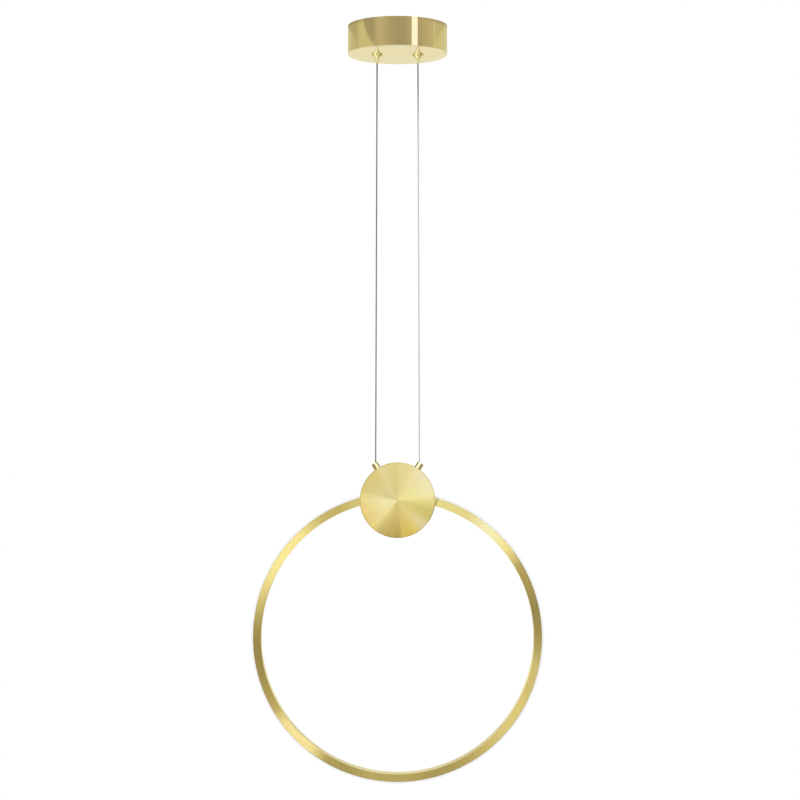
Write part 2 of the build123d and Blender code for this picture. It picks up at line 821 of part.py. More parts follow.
def make_canopy_leads():
    """The leads in the canopy, from the driver and the terminal to where each one ends."""
    end = driver_length / 2
    near_y = driver_offset - driver_lead_spread / 2
    far_y = driver_offset + driver_lead_spread / 2
    entry_y = terminal_depth / 2 - lead_entry_depth
    z = driver_lead_z
    save("live_lead", lead([
        (end, near_y, z), (end + 9, near_y, z), (end + 14, near_y, z + 9), (end + 6, near_y - 2, z + 17),
        (pole_x(2) + 14, near_y - 5, lead_entry_z), (pole_x(2), near_y - 7, lead_entry_z),
        (pole_x(2), entry_y, lead_entry_z),
    ], mains_lead_radius))
    save("neutral_lead", lead([
        (end, far_y, z), (end + 9, far_y, z), (end + 13, far_y - 2, z + 9), (end + 5, far_y - 6, z + 17),
        (pole_x(1) + 17, far_y - 12, lead_entry_z), (pole_x(1), far_y - 18, lead_entry_z),
        (pole_x(1), entry_y, lead_entry_z),
    ], mains_lead_radius))
    tag_z = -bracket_gauge - earth_tag_gauge - mains_lead_radius
    screw_side = earth_screw_head_radius + free_gap
    save("earth_lead", lead([
        (pole_x(0), entry_y, lead_entry_z), (pole_x(0), entry_y + 12, lead_entry_z),
        (pole_x(0) - 6, entry_y + 17, lead_entry_z + 2), (-earth_screw_offset, screw_side + 9, tag_z - 1),
        (-earth_screw_offset, screw_side, tag_z),
    ], mains_lead_radius))
    crimp_z = splice_top - splice_crimp
    save("left_output_lead", lead([
        (-end, far_y, z), (-end - 9, far_y, z), (-end - 15, far_y - 9, z + 3),
        (-end - 11, far_y - 24, z + 10), (-gripper_x - 11, 7, splice_top + 5),
        (-gripper_x - 5, 3, splice_top + 8), (-gripper_x, 0, splice_top + 6),
        (-gripper_x, 0, crimp_z),
    ], low_voltage_lead_radius))
    corridor_y = driver_offset - driver_width / 2 - 3
    save("right_output_lead", lead([
        (-end, near_y, z), (-end - 8, near_y, z), (-end - 11, near_y - 7, z - 1),
        (-end - 3, corridor_y, z - 2), (0, corridor_y + 0.5, z - 2), (gripper_x - 9, corridor_y, z),
        (gripper_x - 1, corridor_y - 2, splice_top), (gripper_x - 1, 4.5, splice_top + 7),
        (gripper_x, 0, splice_top + 7), (gripper_x, 0, crimp_z),
    ], low_voltage_lead_radius))


def make_hub_leads():
    """The leads in the hub, from the fittings and the LED strip to the connector."""
    behind_bar = (flange_inside + rear_plate_inside) / 2
    on_face = (ball_radius + running_gap + fitting_radius) / 2
    reach = math.sin(math.radians(fitting_angle))
    rise = math.cos(math.radians(fitting_angle))
    for name, side in sides:
        x = side * contact_lead_spread / 2
        inner_rho = fitting_end_rho - 10
        save(f"{name}_contact_lead", lead([
            (side * fitting_end_rho * reach, on_face, hub_z + fitting_end_rho * rise),
            (side * inner_rho * reach, on_face, hub_z + inner_rho * rise),
            (x, behind_bar, hub_z + 14), (x, behind_bar, connector_top_z),
        ], hub_lead_radius))
    start = math.radians(strip_lead_angle)
    port_z = connector_top_z - connector_height / 2
    side_x = connector_width / 2
    for name, side in (("negative", -1), ("positive", 1)):
        start_y = side * strip_lead_spread / 2
        port_y = board_back + connector_depth / 2 + side * port_spacing / 2
        save(f"{name}_strip_lead", lead([
            (strip_inner * math.sin(start), start_y, ring_z + strip_inner * math.cos(start)),
            ((channel_inner - 8) * math.sin(start), start_y, ring_z + (channel_inner - 8) * math.cos(start)),
            (side_x + 18, (start_y + port_y) / 2, hub_z - 13), (side_x + 8, port_y, port_z),
            (side_x, port_y, port_z),
        ], hub_lead_radius))


def main():
    os.makedirs("parts", exist_ok=True)
    save("mounting_bracket", make_bracket())
    save("canopy_cup", make_cup())
    save("canopy_screws", *[make_grub_screw(side) for _, side in sides])
    save("mains_terminal", make_terminal())
    save("terminal_screws", *[make_terminal_screw(side) for _, side in sides])
    save("earth_tag", make_earth_tag())
    save("earth_screw", make_earth_screw())
    save("led_driver", make_driver())
    save("driver_pad", make_pad())
    make_canopy_leads()
    save("gripper_caps", *[make_gripper_cap(side) for _, side in sides])
    save("gripper_nuts", *[make_gripper_nut(side) for _, side in sides])
    for name, side in sides:
        save(f"{name}_gripper_body", make_gripper_body(side))
        save(f"{name}_plunger", make_plunger(side))
        save(f"{name}_grip_balls", *make_grip_balls(side))
        save(f"{name}_grip_spring", make_spring(side))
        save(f"{name}_wire_splice", make_splice(side))
        save(f"{name}_wire_tail", make_tail(side))
        save(f"{name}_wire", make_wire(side))
        save(f"{name}_wire_ball", make_wire_ball(side))
        save(f"{name}_wire_fitting", make_fitting(side))
        save(f"{name}_insulating_bush", make_bush(side))
    save("fitting_nuts", *[make_fitting_nut(side) for _, side in sides])
    save("hub_front_shell", make_shell(True))
    save("hub_rear_shell", make_shell(False))
    save("shell_screws", *[make_shell_screw(x, z) for x, z in boss_places()])
    save("ring_channel", make_channel())
    save("ring_joint_bar", make_joint_bar())
    save("joint_screws", *[make_joint_screw(angle, y) for angle, y in joint_screw_places()])
    save("outer_diffuser", make_diffuser())
    save("led_strip", make_strip())
    save("led_chips", *make_chips())
    save("connection_board", make_board())
    save("board_screws", *[make_board_screw(x, z) for x, z in board_posts()])
    save("lead_connector", make_connector())
    make_hub_leads()


main()
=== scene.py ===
"""Looks of a gilt LED ring pendant on two sheathed wires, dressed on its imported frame. Metres."""

import json
import math

import bpy
import numpy as np
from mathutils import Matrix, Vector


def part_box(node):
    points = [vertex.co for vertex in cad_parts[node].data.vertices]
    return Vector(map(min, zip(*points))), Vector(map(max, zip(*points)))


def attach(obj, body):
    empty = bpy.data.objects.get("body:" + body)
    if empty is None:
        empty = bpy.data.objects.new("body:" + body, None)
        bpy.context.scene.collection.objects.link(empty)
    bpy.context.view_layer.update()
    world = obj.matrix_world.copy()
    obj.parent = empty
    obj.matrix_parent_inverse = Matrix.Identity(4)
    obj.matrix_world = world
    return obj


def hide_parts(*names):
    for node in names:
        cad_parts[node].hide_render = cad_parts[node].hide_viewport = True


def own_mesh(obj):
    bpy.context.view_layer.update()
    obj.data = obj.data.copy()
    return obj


# Photograph's view: a level camera whose horizon lies below the middle of the picture
PICTURE_SIDE = 800
CAMERA_PLACE = (0.0034, -2.742, -0.565)
CAMERA_LENS = 90.0
CAMERA_SENSOR = 36.0
HORIZON_ROW = 438

# Axes of the turned pieces, as the frame has them
HUB_CENTRE = (0.0, 0.0, -0.650)
RING_CENTRE = (0.0, 0.0, -0.8375)

# Painted reflections on the hub: a sunburst of rays by turn from the left by the bottom, in paler and deeper
# gold
PALE_GOLD = (0.87, 0.795, 0.445)
FLARE_GOLD = (1.00, 0.91, 0.49)
PEACH_GOLD = (0.965, 0.83, 0.415)
BUFF_GOLD = (0.81, 0.68, 0.285)
DEEP_GOLD = (0.775, 0.63, 0.228)
HONEY_GOLD = (0.835, 0.67, 0.253)
LEAF_GOLD = (0.755, 0.64, 0.24)
SAND_GOLD = (0.82, 0.72, 0.30)
CREAM_GOLD = (0.965, 0.885, 0.395)
STRAW_GOLD = (0.895, 0.79, 0.375)
WHEAT_GOLD = (0.855, 0.755, 0.35)
DUSK_GOLD = (0.735, 0.645, 0.325)
SHELL_GOLD = (0.815, 0.705, 0.345)
SUNBURST_REFLECTIONS = (
    (0.000, PALE_GOLD),
    (0.035, FLARE_GOLD),
    (0.090, FLARE_GOLD),
    (0.125, PEACH_GOLD),
    (0.165, BUFF_GOLD),
    (0.200, DEEP_GOLD),
    (0.260, DEEP_GOLD),
    (0.271, HONEY_GOLD),
    (0.310, HONEY_GOLD),
    (0.345, BUFF_GOLD),
    (0.400, LEAF_GOLD),
    (0.465, LEAF_GOLD),
    (0.500, SAND_GOLD),
    (0.535, CREAM_GOLD),
    (0.590, CREAM_GOLD),
    (0.630, STRAW_GOLD),
    (0.655, STRAW_GOLD),
    (0.692, WHEAT_GOLD),
    (0.712, WHEAT_GOLD),
    (0.734, STRAW_GOLD),
    (0.755, SAND_GOLD),
    (0.785, SAND_GOLD),
    (0.815, SHELL_GOLD),
    (0.845, SHELL_GOLD),
    (0.880, DUSK_GOLD),
    (0.948, DUSK_GOLD),
    (1.000, PALE_GOLD),
)

# Painted iridescent tints that the spun lines' reflections take on towards the hub's rim, by the same turn,
# and how far they reach
NO_TINT = (1.00, 1.00, 1.00)
CLEAR_TINT = (1.02, 1.02, 1.06)
LILAC_TINT = (1.00, 1.02, 1.42)
SAGE_TINT = (0.88, 0.92, 0.82)
AMBER_TINT = (0.98, 0.90, 0.56)
UMBER_TINT = (0.76, 0.68, 0.50)
OLIVE_TINT = (0.77, 0.73, 0.63)
BRONZE_TINT = (0.92, 0.80, 0.55)
PEACH_TINT = (1.00, 0.845, 0.60)
STRAW_TINT = (0.95, 0.91, 0.70)
RIM_REFLECTION_TINTS = (
    (0.000, STRAW_TINT),
    (0.020, BRONZE_TINT),
    (0.052, PEACH_TINT),
    (0.090, BRONZE_TINT),
    (0.130, STRAW_TINT),
    (0.168, OLIVE_TINT),
    (0.225, OLIVE_TINT),
    (0.245, UMBER_TINT),
    (0.260, UMBER_TINT),
    (0.274, AMBER_TINT),
    (0.335, AMBER_TINT),
    (0.373, LILAC_TINT),
    (0.396, LILAC_TINT),
    (0.416, SAGE_TINT),
    (0.448, SAGE_TINT),
    (0.500, CLEAR_TINT),
    (0.540, LILAC_TINT),
    (0.635, LILAC_TINT),
    (0.700, CLEAR_TINT),
    (0.835, CLEAR_TINT),
    (0.856, STRAW_TINT),
    (1.000, STRAW_TINT),
)
TINT_REACH = (0.018, 0.048)

# Where the hub's satin chamfer starts, by radius and depth, and how much rougher it is
CHAMFER_START = (0.0501, 0.0504)
CHAMFER_DEPTH = (-0.0116, -0.0118)
CHAMFER_ROUGHNESS = 0.30

# Spun lines on the hub: scales of their noise, the shades that they span, and their roughness
SPUN_LINES = 3500.0
SPUN_STREAKS = 26.0
SPUN_LINE_SHADES = (0.95, 1.03)
SPUN_STREAK_SHADES = (0.93, 1.07)
SPUN_ROUGHNESS = (0.27, 0.33)
SPUN_ANISOTROPY = 0.85

# Ring: painted reflections as paler and deeper stretches by the same turn, a narrow darker line beside the
# hub, by its turn and half width, the plain inner face, which ends at a radius, and the brushed lines
FLASH_GOLD = (1.00, 0.95, 0.58)
BRIGHT_GOLD = (0.95, 0.82, 0.33)
WARM_GOLD = (0.97, 0.83, 0.37)
GLOW_GOLD = (0.88, 0.755, 0.30)
EVEN_GOLD = (0.77, 0.645, 0.24)
FAIR_GOLD = (0.70, 0.565, 0.195)
SOFT_GOLD = (0.66, 0.53, 0.18)
LOW_GOLD = (0.60, 0.48, 0.163)
BROWN_GOLD = (0.54, 0.43, 0.145)
# A narrow darker line on the ring beside the hub
HUB_LINE_BROWN = (0.50, 0.37, 0.14)
HUB_LINE_TURN = 0.7053
HUB_LINE_HALF = (0.0005, 0.0009)
INNER_GOLD = (0.95, 0.86, 0.55)
FACE_START = (0.1868, 0.1872)
BRUSHED_REFLECTIONS = (
    (0.000, SOFT_GOLD),
    (0.084, SOFT_GOLD),
    (0.104, WARM_GOLD),
    (0.145, WARM_GOLD),
    (0.166, BROWN_GOLD),
    (0.188, BROWN_GOLD),
    (0.218, FAIR_GOLD),
    (0.258, FAIR_GOLD),
    (0.290, LOW_GOLD),
    (0.312, LOW_GOLD),
    (0.335, SOFT_GOLD),
    (0.385, EVEN_GOLD),
    (0.439, EVEN_GOLD),
    (0.467, BRIGHT_GOLD),
    (0.495, EVEN_GOLD),
    (0.530, BROWN_GOLD),
    (0.584, BROWN_GOLD),
    (0.608, BRIGHT_GOLD),
    (0.640, FLASH_GOLD),
    (0.667, GLOW_GOLD),
    (0.7062, BRIGHT_GOLD),
    (0.765, BRIGHT_GOLD),
    (0.798, EVEN_GOLD),
    (0.818, SOFT_GOLD),
    (0.838, SOFT_GOLD),
    (0.872, BRIGHT_GOLD),
    (0.930, BRIGHT_GOLD),
    (0.962, EVEN_GOLD),
    (1.000, SOFT_GOLD),
)
BRUSH_DRAW = 0.006
BRUSH_LINES = 1300.0
BRUSH_SHADES = (0.93, 1.06)
BRUSH_ROUGHNESS = (0.27, 0.30)
BRUSH_ANISOTROPY = 0.90

# Lacquered plating, opal acrylic, plain metal and moulded pieces: pairs of tones that faint clouds mix,
# scales of noise for their clouds, haze and grain, and spans of roughness or how far it spreads
LACQUER_TONES = ((0.80, 0.70, 0.40), (0.86, 0.77, 0.48))
LACQUER_CLOUDS = 14.0
LACQUER_HAZE = 220.0
LACQUER_ROUGHNESS = (0.02, 0.045)
OPAL_TONES = ((0.89, 0.89, 0.885), (0.92, 0.92, 0.915))
OPAL_CLOUDS = 60.0
OPAL_HAZE = 300.0
OPAL_ROUGHNESS = (0.28, 0.36)
# A faint painted glow that brightens the opal
OPAL_PAINTED_GLOW = (1.0, 1.0, 0.98, 1.0)
OPAL_PAINTED_GLOW_STRENGTH = 0.03
METAL_CLOUDS = 260.0
METAL_HAZE = 700.0
METAL_SPREAD = (-0.06, 0.08)
MOULD_GRAIN = 500.0
MOULD_GRAIN_STRENGTH = 0.08
MOULD_GRAIN_DEPTH = 0.0004
MOULD_CLOUDS_PER_GRAIN = 1 / 8
MOULD_SPREAD = (-0.05, 0.08)

# Gripper flanges under the canopy: place of their axes, brass, and a band of painted shade round their rims
GRIPPER_AXIS = 0.028
BRASS_TONES = ((0.79, 0.745, 0.45), (0.83, 0.79, 0.50))
BRASS_ROUGHNESS = (0.18, 0.28)
FLANGE_SHADE_TONE = (0.72, 0.65, 0.36)
FLANGE_SHADE_BAND = (0.0072, 0.0068)

# Suspension wires: where they leave the grippers and enter their ball ends, their travel, their strands, and
# how finely they are made
WIRE_DIAMETER = 0.0018
WIRE_TOP = (0.028, 0.0, -0.0525)
WIRE_FOOT = (0.02998, 0.0, -0.60214)
STRANDS = 6
SIDES_PER_STRAND = 4
STRAND_RELIEF = 0.05
STRAND_LAY = 0.010
WIRE_STEP = 0.0006
ROUTE_RESOLUTION = 24
STRAIGHT_DIAMETERS = 6

# Rounded upper end of a wire: heights above its top and radii, in radii of the wire
WIRE_ROUNDING = ((0.96, 0.40), (0.94, 0.60), (0.86, 0.80), (0.77, 0.93), (0.55, 1.00))

# Darker stretch at the top of a wire, by reach from the top, its shade, and the sheath's haze
DARK_TOP_REACH = (0.020, 0.095)
DARK_TOP_SHADE = 0.12
SHEATH_HAZE = 400.0
SHEATH_ROUGHNESS = (0.30, 0.38)

# Gripper springs, whose ends lie flat over part of a turn
SPRING_TURNS = 7.5
FLAT_TURNS = 0.75
SPRING_WIRE = 0.00045
SPRING_STEPS_PER_TURN = 28
SPRING_SIDES = 8

# Studio: a floor that fades between two radii, and the level of the even light
FLOOR_DROP = 2.6
FLOOR_RADIUS = 3.0
FLOOR_SIDES = 96
FLOOR_FADE = (1.2, 2.85)
FLOOR_TONE = (0.93, 0.93, 0.92, 1)
FLOOR_ROUGHNESS = 0.9
WHITE = (1, 1, 1, 1)
WORLD_LEVEL = 0.85

# Soft boxes: name, turn from the camera's side, distance, width, lower and upper edge, brightness, colour
SOFT_BOXES = (
    ("right_soft_box", 39.6, 2.0, 0.50, -0.85, 0.90, 1.10, (0.74, 0.71, 0.98)),
    ("left_soft_box", -38.0, 2.0, 0.85, -0.85, 0.28, 1.6, (1.0, 1.0, 1.0)),
)

# Wall seen only in reflections: its grid's turns and rows, each row from a height to a height in steps. Turns
# are from the camera's side, to the right, and sides are turns either way
WALL_RADIUS = 3.4
WALL_TURN_STEP = 1.0
WALL_ROWS = (
    (-3.3, 0.5, 0.06),
    (0.5, 0.6, 0.01),
    (0.6, 0.73, 0.002),
    (0.73, 0.8, 0.01),
    (0.8, 2.8, 0.025),
    (2.8, 3.05, 0.1),
)

# Levels of the wall's parts, each a turn and a level, and the tints of its sides and its front
SIDE_TINT = np.array((1.0, 0.95, 0.62))
FRONT_TINT = np.array((1.0, 0.88, 0.605))
LEFT_LEVELS = (
    (-180, 0.72), (-152, 0.50), (-126, 0.53), (-112, 0.525), (-103, 0.645), (-96, 0.685), (-90, 0.71),
    (-58, 0.70),
)
FAR_LEFT_LEVELS = ((-180, 0.78), (-140, 0.685), (-125, 0.645), (-110, 0.64))
FRONT_LEVELS = (
    (-84, 0.48), (-72, 0.455), (-58, 0.44), (-47, 0.60), (-34, 0.60), (-18, 0.50), (2, 0.46), (16, 0.455),
    (28, 0.53), (52, 0.50), (62, 0.56), (86, 0.65), (92, 0.66), (94, 0.86), (96, 0.66), (102, 0.62),
    (122, 0.61), (150, 0.64), (180, 0.72),
)
FAR_RIGHT_LEVELS = ((88, 0.70), (105, 0.735), (150, 0.735), (180, 0.78))

# Bowed edges between the wall's parts, each a height and a turn, and the turns about them that they fade over
FRONT_EDGE = (
    (0.585, -42), (0.600, -47), (0.622, -55.7), (0.632, -62.3), (0.645, -70), (0.657, -75.2), (0.675, -81),
    (0.693, -84.6), (0.710, -86),
)
FRONT_FADE = (-0.8, 0.8)
FRONT_STOP = (91.0, 93.0)
LEFT_EDGE = (
    (0.600, -108), (0.6285, -110.2), (0.6377, -111.4), (0.6467, -114.3), (0.659, -123.3), (0.671, -133.9),
    (0.683, -147.8), (0.700, -182),
)
LEFT_FADE = (-1.5, 1.0)
RIGHT_EDGE = (
    (0.610, 88), (0.6255, 94), (0.6377, 101), (0.653, 108.6), (0.665, 116.9), (0.677, 128.9), (0.690, 145),
    (0.700, 182),
)
RIGHT_FADE = (-4.0, 4.0)

# Darker bands across the wall: where they rise and fall, and the share of the level that they take
LINE_HEIGHTS = (0.6176, 0.6216, 0.6216, 0.6256)
LINE_TURNS = (-12.0, -4.0, 58.0, 66.0)
LINE_DIM = 0.22
BROW_HEIGHTS = (0.691, 0.696, 0.720, 0.724)
BROW_SIDES = (60.0, 90.0)
BROW_DIM = 0.27
SHELF_HEIGHTS = (0.38, 0.42, 0.592, 0.604)
SHELF_SIDES = (58.0, 72.0)
SHELF_DIM = 0.25

# Layers over the wall: their tones, and the heights and sides where they rise and fall
OPEN_TONE = np.array((1.0, 1.0, 1.0))
FRONT_TOP = (0.97, 1.03)
SIDE_FOOT = (-0.34, -0.26)
BACK_TONE = np.array((0.91, 0.88, 0.70))
BACK_SIDES = (145.0, 160.0)
BACK_TOP = (-0.42, -0.34)
LOW_TINT = np.array((1.0, 0.96, 0.85))
LOW_TOP = (-0.90, -0.82)
DARK_TONE = np.array((0.20, 0.17, 0.12))
LOW_SIDES = (40.0, 46.0, 114.0, 122.0)
LOW_SIDES_TOP = (-0.98, -0.90)
HIGH_SIDES = (62.0, 76.0, 160.0, 168.0)
HIGH_START = ((62, 1.50), (80, 1.32), (100, 1.12), (120, 0.82))
HIGH_STOP = ((62, 1.8), (100, 1.9), (120, 2.4))
HIGH_FADES = (0.2, 0.3)
STRIP_TONE = np.array((1.0, 0.98, 0.92))
STRIP_SIDES = (40.0, 55.0)
PATCH_TONE = np.array((1.25, 1.25, 1.18))
PATCH_SIDES = (29.5, 32.5)
PATCH_HEIGHTS = (-0.90, -0.82, 0.32, 0.38)

# Wedges of light in the low zone, each a bearing about the height of the ring's mirrored centre and a level
LOW_CENTRE = -1.17
LOW_LEVELS = (
    (60, 0.34), (96, 0.34), (108, 1.2), (136, 1.2), (150, 0.34),
    (206, 0.34), (216, 1.4), (236, 1.4), (246, 0.34), (300, 0.34),
)

# Dark path that the hub fittings' outer halves mirror: height = first + second * sin(side), and its width
FITTING_TONE = np.array((0.29, 0.26, 0.16))
FITTING_PATH = (-0.607, -2.166)
FITTING_SIDES = (11.0, 15.0, 121.0, 126.0)
FITTING_WIDTH = (0.12, 0.18)


def new_object(name, mesh):
    """An object at the origin, with its place in its mesh, linked to the scene."""
    made = bpy.data.objects.new(name, mesh)
    bpy.context.scene.collection.objects.link(made)
    return made


def photograph_camera():
    """The camera at the photograph's eye level, shifted up to the photograph's framing."""
    data = bpy.data.cameras.new("photograph_view")
    data.lens = CAMERA_LENS
    data.sensor_width = CAMERA_SENSOR
    data.shift_y = (HORIZON_ROW - PICTURE_SIDE / 2) / PICTURE_SIDE
    camera = new_object("photograph_view", data)
    camera.location = CAMERA_PLACE
    camera.rotation_euler = (math.pi / 2, 0, 0)
    bpy.context.scene.camera = camera


def route_points(name, corners):
    """Points read from a NURBS line of order 3 whose control points are the route's corners."""
    curve = bpy.data.curves.new(name, "CURVE")
    curve.dimensions = "3D"
    curve.resolution_u = ROUTE_RESOLUTION
    spline = curve.splines.new("NURBS")
    spline.points.add(len(corners) - 1)
    spline.points.foreach_set("co", np.insert(corners, 3, 1.0, axis=1).ravel())
    spline.order_u = 3
    spline.use_endpoint_u = True
    holder = bpy.data.objects.new(name, curve)
    line = bpy.data.meshes.new_from_object(holder)
    points = np.empty(len(line.vertices) * 3)
    line.vertices.foreach_get("co", points)
    bpy.data.objects.remove(holder)
    bpy.data.curves.remove(curve)
    bpy.data.meshes.remove(line)
    return points.reshape(-1, 3)


def evenly_spaced(points, step):
    """The same line with points at equal lengths along it, by interpolation over its arc length."""
    lengths = np.insert(np.cumsum(np.linalg.norm(np.diff(points, axis=0), axis=1)), 0, 0.0)
    wanted = np.linspace(0.0, lengths[-1], int(round(lengths[-1] / step)) + 1)
    return np.stack([np.interp(wanted, lengths, points[:, axis]) for axis in range(3)], axis=1)


def carried_rings(path, normals, across, along):
    """Ring (i, k) is path[i] + across[i, k] * normal[i] + along[i, k] * (tangent[i] x normal[i])."""
    tangents = np.gradient(path, axis=0)
    tangents /= np.linalg.norm(tangents, axis=1, keepdims=True)
    normals = normals - np.sum(normals * tangents, axis=1, keepdims=True) * tangents
    normals /= np.linalg.norm(normals, axis=1, keepdims=True)
    sideways = np.cross(tangents, normals)
    return path[:, None] + across[..., None] * normals[:, None] + along[..., None] * sideways[:, None]


def tube_mesh(name, rings, reach):
    """A closed tube over a grid of rings, with a fan at each end, and a UV map of turn and reach."""
    rows, columns, _ = rings.shape
    i, k = np.meshgrid(np.arange(rows - 1), np.arange(columns), indexing="ij")
    start, after = i * columns, (k + 1) % columns
    quads = np.stack([start + k, start + after, start + columns + after, start + columns + k], -1)
    first, last = rows * columns, rows * columns + 1
    k = np.arange(columns)
    start_fan = np.stack([np.full(columns, first), (k + 1) % columns, k], -1)
    base = (rows - 1) * columns
    end_fan = np.stack([np.full(columns, last), base + k, base + (k + 1) % columns], -1)
    points = np.concatenate([rings.reshape(-1, 3), rings[:1].mean(1), rings[-1:].mean(1)])
    faces = quads.reshape(-1, 4).tolist() + start_fan.tolist() + end_fan.tolist()
    mesh = bpy.data.meshes.new(name)
    mesh.from_pydata(points, [], faces)
    turn = np.stack([k / columns, (k + 1) / columns, (k + 1) / columns, k / columns], -1)
    turn = np.broadcast_to(turn, (rows - 1, columns, 4))
    ends = np.stack([reach[:-1], reach[:-1], reach[1:], reach[1:]], -1)
    ends = np.broadcast_to(ends[:, None], (rows - 1, columns, 4))
    fans = np.concatenate([np.full(columns * 3, reach[0]), np.full(columns * 3, reach[-1])])
    grid_uv = np.stack([turn, ends], -1).reshape(-1, 2)
    fan_uv = np.stack([np.full(len(fans), 0.5), fans], -1)
    layer = mesh.uv_layers.new(name="turn_and_reach")
    layer.uv.foreach_set("vector", np.concatenate([grid_uv, fan_uv]).astype(np.float32).ravel())
    mesh.polygons.foreach_set("use_smooth", np.ones(len(mesh.polygons), bool))
    mesh.update()
    return mesh


def suspension_wire(side, sign):
    """A sheathed stranded wire: radius = r * (1 - relief * (1 - |cos(strands / 2 * turn)|)), with the
    rings turned along the lay so that grid lines follow the strands, and a rounded upper end."""
    top, foot = (np.array((sign * x, y, z)) for x, y, z in (WIRE_TOP, WIRE_FOOT))
    run = (foot - top) / np.linalg.norm(foot - top)
    near = STRAIGHT_DIAMETERS * WIRE_DIAMETER * run
    route = route_points(f"{side}_wire_route", np.array([top, top + near, foot - near, foot]))
    path = evenly_spaced(route, WIRE_STEP)
    reach = np.linalg.norm(path - top, axis=1)
    radius = WIRE_DIAMETER / 2
    turn = np.linspace(0.0, 2 * np.pi, STRANDS * SIDES_PER_STRAND, endpoint=False)
    strand = 1 - STRAND_RELIEF * (1 - np.abs(np.cos(STRANDS / 2 * turn)))
    rounding = radius * np.array(WIRE_ROUNDING)
    full_path = np.concatenate([path[0] - rounding[:, :1] * run, path])
    full_radius = np.concatenate([rounding[:, 1], np.full(len(path), radius)])
    full_reach = np.concatenate([np.zeros(len(rounding)), reach])
    angle = turn[None] + 2 * np.pi * full_reach[:, None] / STRAND_LAY
    size = full_radius[:, None] * strand[None]
    normals = np.tile((0.0, 1.0, 0.0), (len(full_path), 1))
    rings = carried_rings(full_path, normals, size * np.cos(angle), size * np.sin(angle))
    name = f"{side}_suspension_wire"
    wire = new_object(name, tube_mesh(name, rings, full_reach))
    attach(wire, "wires")
    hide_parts(f"{side}_wire")
    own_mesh(wire)
    return wire


def gripper_spring(side):
    """A helical spring in its sleeve's space: centre line (R cos a, R sin a, height), which rises by one wire
    over the flat stretch at each end and evenly between them, and a round section carried along it."""
    low, high = (np.array(corner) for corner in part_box(f"{side}_grip_spring"))
    middle = (low + high) / 2
    room = high[2] - low[2]
    coil = (high[0] - low[0]) / 2 - SPRING_WIRE / 2
    share = np.linspace(0.0, 1.0, int(SPRING_TURNS * SPRING_STEPS_PER_TURN) + 1)
    turns = SPRING_TURNS * share
    ends = ease(turns, 0.0, FLAT_TURNS) + ease(turns, SPRING_TURNS - FLAT_TURNS, SPRING_TURNS)
    rise = ease(turns, FLAT_TURNS, SPRING_TURNS - FLAT_TURNS)
    height = low[2] + SPRING_WIRE / 2 + SPRING_WIRE * ends + rise * (room - 3 * SPRING_WIRE)
    a = 2 * np.pi * turns
    path = np.stack([middle[0] + coil * np.cos(a), middle[1] + coil * np.sin(a), height], 1)
    normals = np.stack([np.cos(a), np.sin(a), np.zeros_like(a)], 1)
    around = np.linspace(0.0, 2 * np.pi, SPRING_SIDES, endpoint=False)
    across, along = (np.tile(SPRING_WIRE / 2 * wave(around), (len(path), 1)) for wave in (np.cos, np.sin))
    rings = carried_rings(path, normals, across, along)
    name = f"{side}_coil_spring"
    spring = new_object(name, tube_mesh(name, rings, share))
    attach(spring, "canopy")
    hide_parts(f"{side}_grip_spring")
    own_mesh(spring)
    return spring


def new_finish(name):
    """An empty material's node tree and its surface shader."""
    made = bpy.data.materials.new(name)
    made.use_nodes = True
    return made, made.node_tree, made.node_tree.nodes["Principled BSDF"]


def add_node(tree, kind, inputs=None, **settings):
    """A new shader node: each input is set to a value or linked from another node's socket."""
    made = tree.nodes.new("ShaderNode" + kind)
    for key, value in settings.items():
        setattr(made, key, value)
    for key, value in (inputs or {}).items():
        if isinstance(value, bpy.types.NodeSocket):
            tree.links.new(value, made.inputs[key])
        else:
            made.inputs[key].default_value = value
    return made


def set_shader(shader, **values):
    """Sets the shader's own sockets, whose names are written with underscores."""
    for key, value in values.items():
        shader.inputs[key.replace("_", " ")].default_value = value


def link(tree, output, shader, socket):
    """Links an output to one of the shader's sockets."""
    tree.links.new(output, shader.inputs[socket])


def span(tree, value, low, high):
    """A value from 0 to 1, mapped to a range."""
    return add_node(tree, "MapRange", {"Value": value, "To Min": low, "To Max": high}).outputs["Result"]


def share_of_way(tree, value, start, end):
    """A value's share of the way from start to end, from 0 to 1."""
    return add_node(tree, "MapRange", {"Value": value, "From Min": start, "From Max": end}).outputs["Result"]


def ramp_colour(tree, factor, stops):
    """The colour at a factor from 0 to 1 on a ramp of stops, each a place and a colour."""
    made = add_node(tree, "ValToRGB", {"Fac": factor})
    ramp = made.color_ramp
    while len(ramp.elements) < len(stops):
        ramp.elements.new(0.5)
    for element, (place, colour) in zip(ramp.elements, stops):
        element.position = place
        element.color = (*colour, 1)
    return made.outputs["Color"]


def tint(tree, factor, first, second):
    """A colour between two colours."""
    return ramp_colour(tree, factor, ((0.0, first), (1.0, second)))


def mixed_colour(tree, factor, first, second):
    """A mix of a fixed colour and another node's colour, by the Mix node's sockets for colours."""
    mix = add_node(tree, "Mix", data_type="RGBA")
    tree.links.new(factor, mix.inputs["Factor"])
    mix.inputs[6].default_value = (*first, 1)
    tree.links.new(second, mix.inputs[7])
    return mix.outputs[2]


def grain(tree, vector, scale, detail=3.0, roughness=0.5):
    """Noise on a coordinate, from 0 to 1."""
    inputs = {"Vector": vector, "Scale": scale, "Detail": detail, "Roughness": roughness}
    return add_node(tree, "TexNoise", inputs).outputs["Fac"]


def maths(tree, operation, *values):
    """The result of an operation on numbers or other nodes' sockets."""
    return add_node(tree, "Math", dict(enumerate(values)), operation=operation).outputs["Value"]


def length_of(tree, vector):
    """A vector's length."""
    return add_node(tree, "VectorMath", {0: vector}, operation="LENGTH").outputs["Value"]


def times(tree, first, second):
    """Two vectors or colours, multiplied part by part."""
    return add_node(tree, "VectorMath", {0: first, 1: second}, operation="MULTIPLY").outputs["Vector"]


